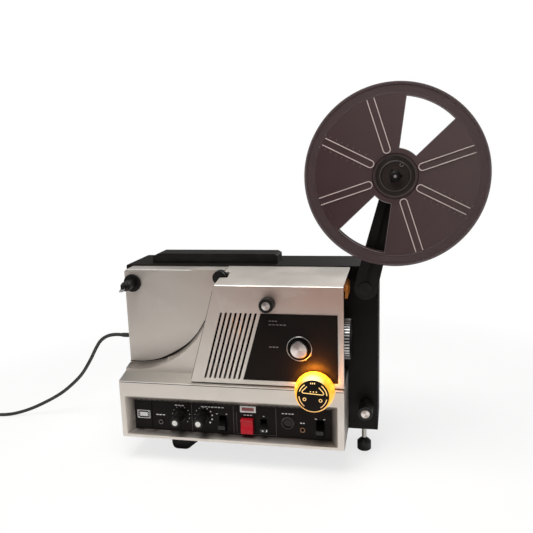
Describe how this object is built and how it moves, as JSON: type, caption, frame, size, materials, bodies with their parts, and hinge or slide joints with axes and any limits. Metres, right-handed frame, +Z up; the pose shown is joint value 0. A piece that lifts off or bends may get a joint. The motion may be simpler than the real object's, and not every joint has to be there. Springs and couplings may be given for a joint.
{
  "type": "movie projector",
  "caption": "Narrow-gauge sound film projector with a folding supply arm and smoked reel, lens, slotted lamp cover, control panel and lit mode knob.",
  "frame": {"origin": "middle of the footprint on the table, without the mains lead", "axes": "+X to the right, the way the lens projects, +Y to the back, +Z up"},
  "size_m": [0.8274, 0.153, 0.4603],
  "materials": {
    "silver_casing": "satin silver paint on moulded casings",
    "black_casing": "fine black textured paint",
    "black_plastic": "matte black moulded plastic",
    "panel_black": "black printed panel",
    "steel": "plated steel",
    "bright_metal": "turned aluminium",
    "red_key": "red key",
    "display": "white frame round a red window",
    "orange_guide": "orange film guide",
    "smoke_reel": "smoke-brown clear plastic",
    "amber_ring": "amber lit ring",
    "lamp_glass": "clear lamp glass",
    "lens_glass": "coated lens glass",
    "reflector": "bowl mirror",
    "ceramic": "ceramic lamp holder",
    "circuit_board": "circuit board",
    "iron_core": "transformer laminations",
    "rubber": "black rubber",
    "cord": "black flexible mains lead"
  },
  "bodies": {
    "chassis": {"base_housing": "silver_casing", "base_floor": "black_casing", "control_panel": "panel_black", "level_display": "display", "panel_sockets": "steel", "potentiometers": "steel", "amplifier_board": "circuit_board", "take_up_panel": "silver_casing", "film_cover": "silver_casing", "cover_fascia": "panel_black", "focus_bezel": "bright_metal", "rear_housing": "black_casing", "rear_cover": "black_casing", "cover_screws": "steel", "fixed_feet": "black_plastic", "film_gate": "steel", "pressure_plate": "steel", "lens_holder": "black_casing", "entry_guide": "orange_guide", "lamp_house": "steel", "lamp_reflector": "reflector", "lamp_bulb": "lamp_glass", "lamp_socket": "ceramic", "shutter_bracket": "steel", "motor_can": "steel", "drive_belt": "rubber", "transformer": "iron_core", "loudspeaker": "black_plastic", "sound_head": "steel", "pilot_bulb": "lamp_glass", "strain_relief": "rubber", "cord_run": "cord", "cord_coil": "cord", "plug": "rubber", "arm_pivot": "steel"},
    "supply_arm": {"supply_arm": "black_plastic"},
    "supply_reel": {"supply_spindle": "black_plastic", "reel_front_flange": "smoke_reel", "reel_back_flange": "smoke_reel", "reel_core": "black_plastic"},
    "take_up": {"take_up_spindle": "black_plastic"},
    "mode_knob": {"mode_ring": "amber_ring", "mode_face": "panel_black"},
    "focus": {"focus_knob": "bright_metal"},
    "lens": {"lens_barrel": "black_plastic", "lens_glass": "lens_glass"},
    "framing": {"framing_knob": "black_plastic"},
    "volume": {"volume_knob": "black_plastic"},
    "sound": {"sound_knob": "black_plastic"},
    "sound_lever": {"sound_switch": "black_plastic"},
    "speed_lever": {"speed_switch": "black_plastic"},
    "toggle": {"record_toggle": "black_plastic"},
    "record_key": {"record_button": "red_key"},
    "carry_handle": {"handle": "black_plastic"},
    "foot": {"height_foot": "rubber"},
    "clamp": {"clamp_knob": "black_plastic"},
    "roller": {"exit_roller": "black_plastic"},
    "sprocket": {"film_sprocket": "steel"},
    "motor": {"motor_rotor": "steel"},
    "shutter_disc": {"shutter": "black_casing"}
  },
  "joints": [
    {"name": "arm_fold", "type": "hinge", "parent": "chassis", "child": "supply_arm", "pos_m": [0.08932, -0.0111, 0.224], "axis": [0, 1, 0], "range_deg": [0, 115]},
    {"name": "reel_spin", "type": "hinge", "parent": "supply_arm", "child": "supply_reel", "pos_m": [0.12318, -0.0291, 0.35778], "axis": [0, 1, 0], "continuous": true},
    {"name": "take_up_spin", "type": "hinge", "parent": "chassis", "child": "take_up", "pos_m": [-0.20798, -0.0191, 0.2273], "axis": [0, 1, 0], "continuous": true},
    {"name": "mode_turn", "type": "hinge", "parent": "chassis", "child": "mode_knob", "pos_m": [0.03162, -0.0591, 0.1085], "axis": [0, 1, 0], "range_deg": [-90, 135]},
    {"name": "focus_turn", "type": "hinge", "parent": "chassis", "child": "focus", "pos_m": [0.01382, -0.0561, 0.159], "axis": [0, 1, 0], "range_deg": [-58, 58]},
    {"name": "lens_slide", "type": "slide", "parent": "chassis", "child": "lens", "axis": [1, 0, 0], "range_m": [-0.00497, 0.00497]},
    {"name": "framing_turn", "type": "hinge", "parent": "chassis", "child": "framing", "pos_m": [-0.02248, -0.0561, 0.2133], "axis": [0, 1, 0], "range_deg": [-60, 60]},
    {"name": "volume_turn", "type": "hinge", "parent": "chassis", "child": "volume", "pos_m": [-0.14169, -0.0491, 0.062], "axis": [0, 1, 0], "range_deg": [-135, 135]},
    {"name": "sound_turn", "type": "hinge", "parent": "chassis", "child": "sound", "pos_m": [-0.11168, -0.0491, 0.0625], "axis": [0, 1, 0], "range_deg": [-135, 135]},
    {"name": "sound_switch_rock", "type": "hinge", "parent": "chassis", "child": "sound_lever", "pos_m": [-0.08669, -0.0426, 0.0545], "axis": [1, 0, 0], "range_deg": [-24, 0]},
    {"name": "speed_switch_rock", "type": "hinge", "parent": "chassis", "child": "speed_lever", "pos_m": [0.03632, -0.0426, 0.0555], "axis": [1, 0, 0], "range_deg": [-24, 0]},
    {"name": "record_toggle_rock", "type": "hinge", "parent": "chassis", "child": "toggle", "pos_m": [-0.03418, -0.0426, 0.054], "axis": [1, 0, 0], "range_deg": [-24, 0]},
    {"name": "record_press", "type": "slide", "parent": "chassis", "child": "record_key", "axis": [0, 1, 0], "range_m": [0, 0.003], "stiffness_N_per_m": 300},
    {"name": "handle_pull", "type": "slide", "parent": "chassis", "child": "carry_handle", "axis": [0, 0, 1], "range_m": [0, 0.025]},
    {"name": "foot_extend", "type": "slide", "parent": "chassis", "child": "foot", "axis": [0, 0, -1], "range_m": [-0.01, 0.02]},
    {"name": "clamp_turn", "type": "hinge", "parent": "chassis", "child": "clamp", "pos_m": [0.08932, -0.0091, 0.066], "axis": [0, 1, 0], "range_deg": [-270, 0]},
    {"name": "exit_roller_spin", "type": "hinge", "parent": "chassis", "child": "roller", "pos_m": [-0.08849, -0.0251, 0.2375], "axis": [0, 1, 0], "continuous": true},
    {"name": "sprocket_spin", "type": "hinge", "parent": "chassis", "child": "sprocket", "pos_m": [-0.02868, -0.0291, 0.1251], "axis": [0, 1, 0], "continuous": true},
    {"name": "motor_spin", "type": "hinge", "parent": "chassis", "child": "motor", "pos_m": [-0.06868, 0.0359, 0.144], "axis": [1, 0, 0], "continuous": true},
    {"name": "shutter_spin", "type": "hinge", "parent": "chassis", "child": "shutter_disc", "pos_m": [-0.00668, -0.0241, 0.144], "axis": [1, 0, 0], "continuous": true}
  ],
  "couplings": [
    {"joint": "focus_turn", "follows": "lens_slide", "rad_per_m": 200},
    {"joint": "shutter_spin", "follows": "motor_spin", "ratio": 1},
    {"joint": "sprocket_spin", "follows": "motor_spin", "ratio": 0.041667}
  ]
}
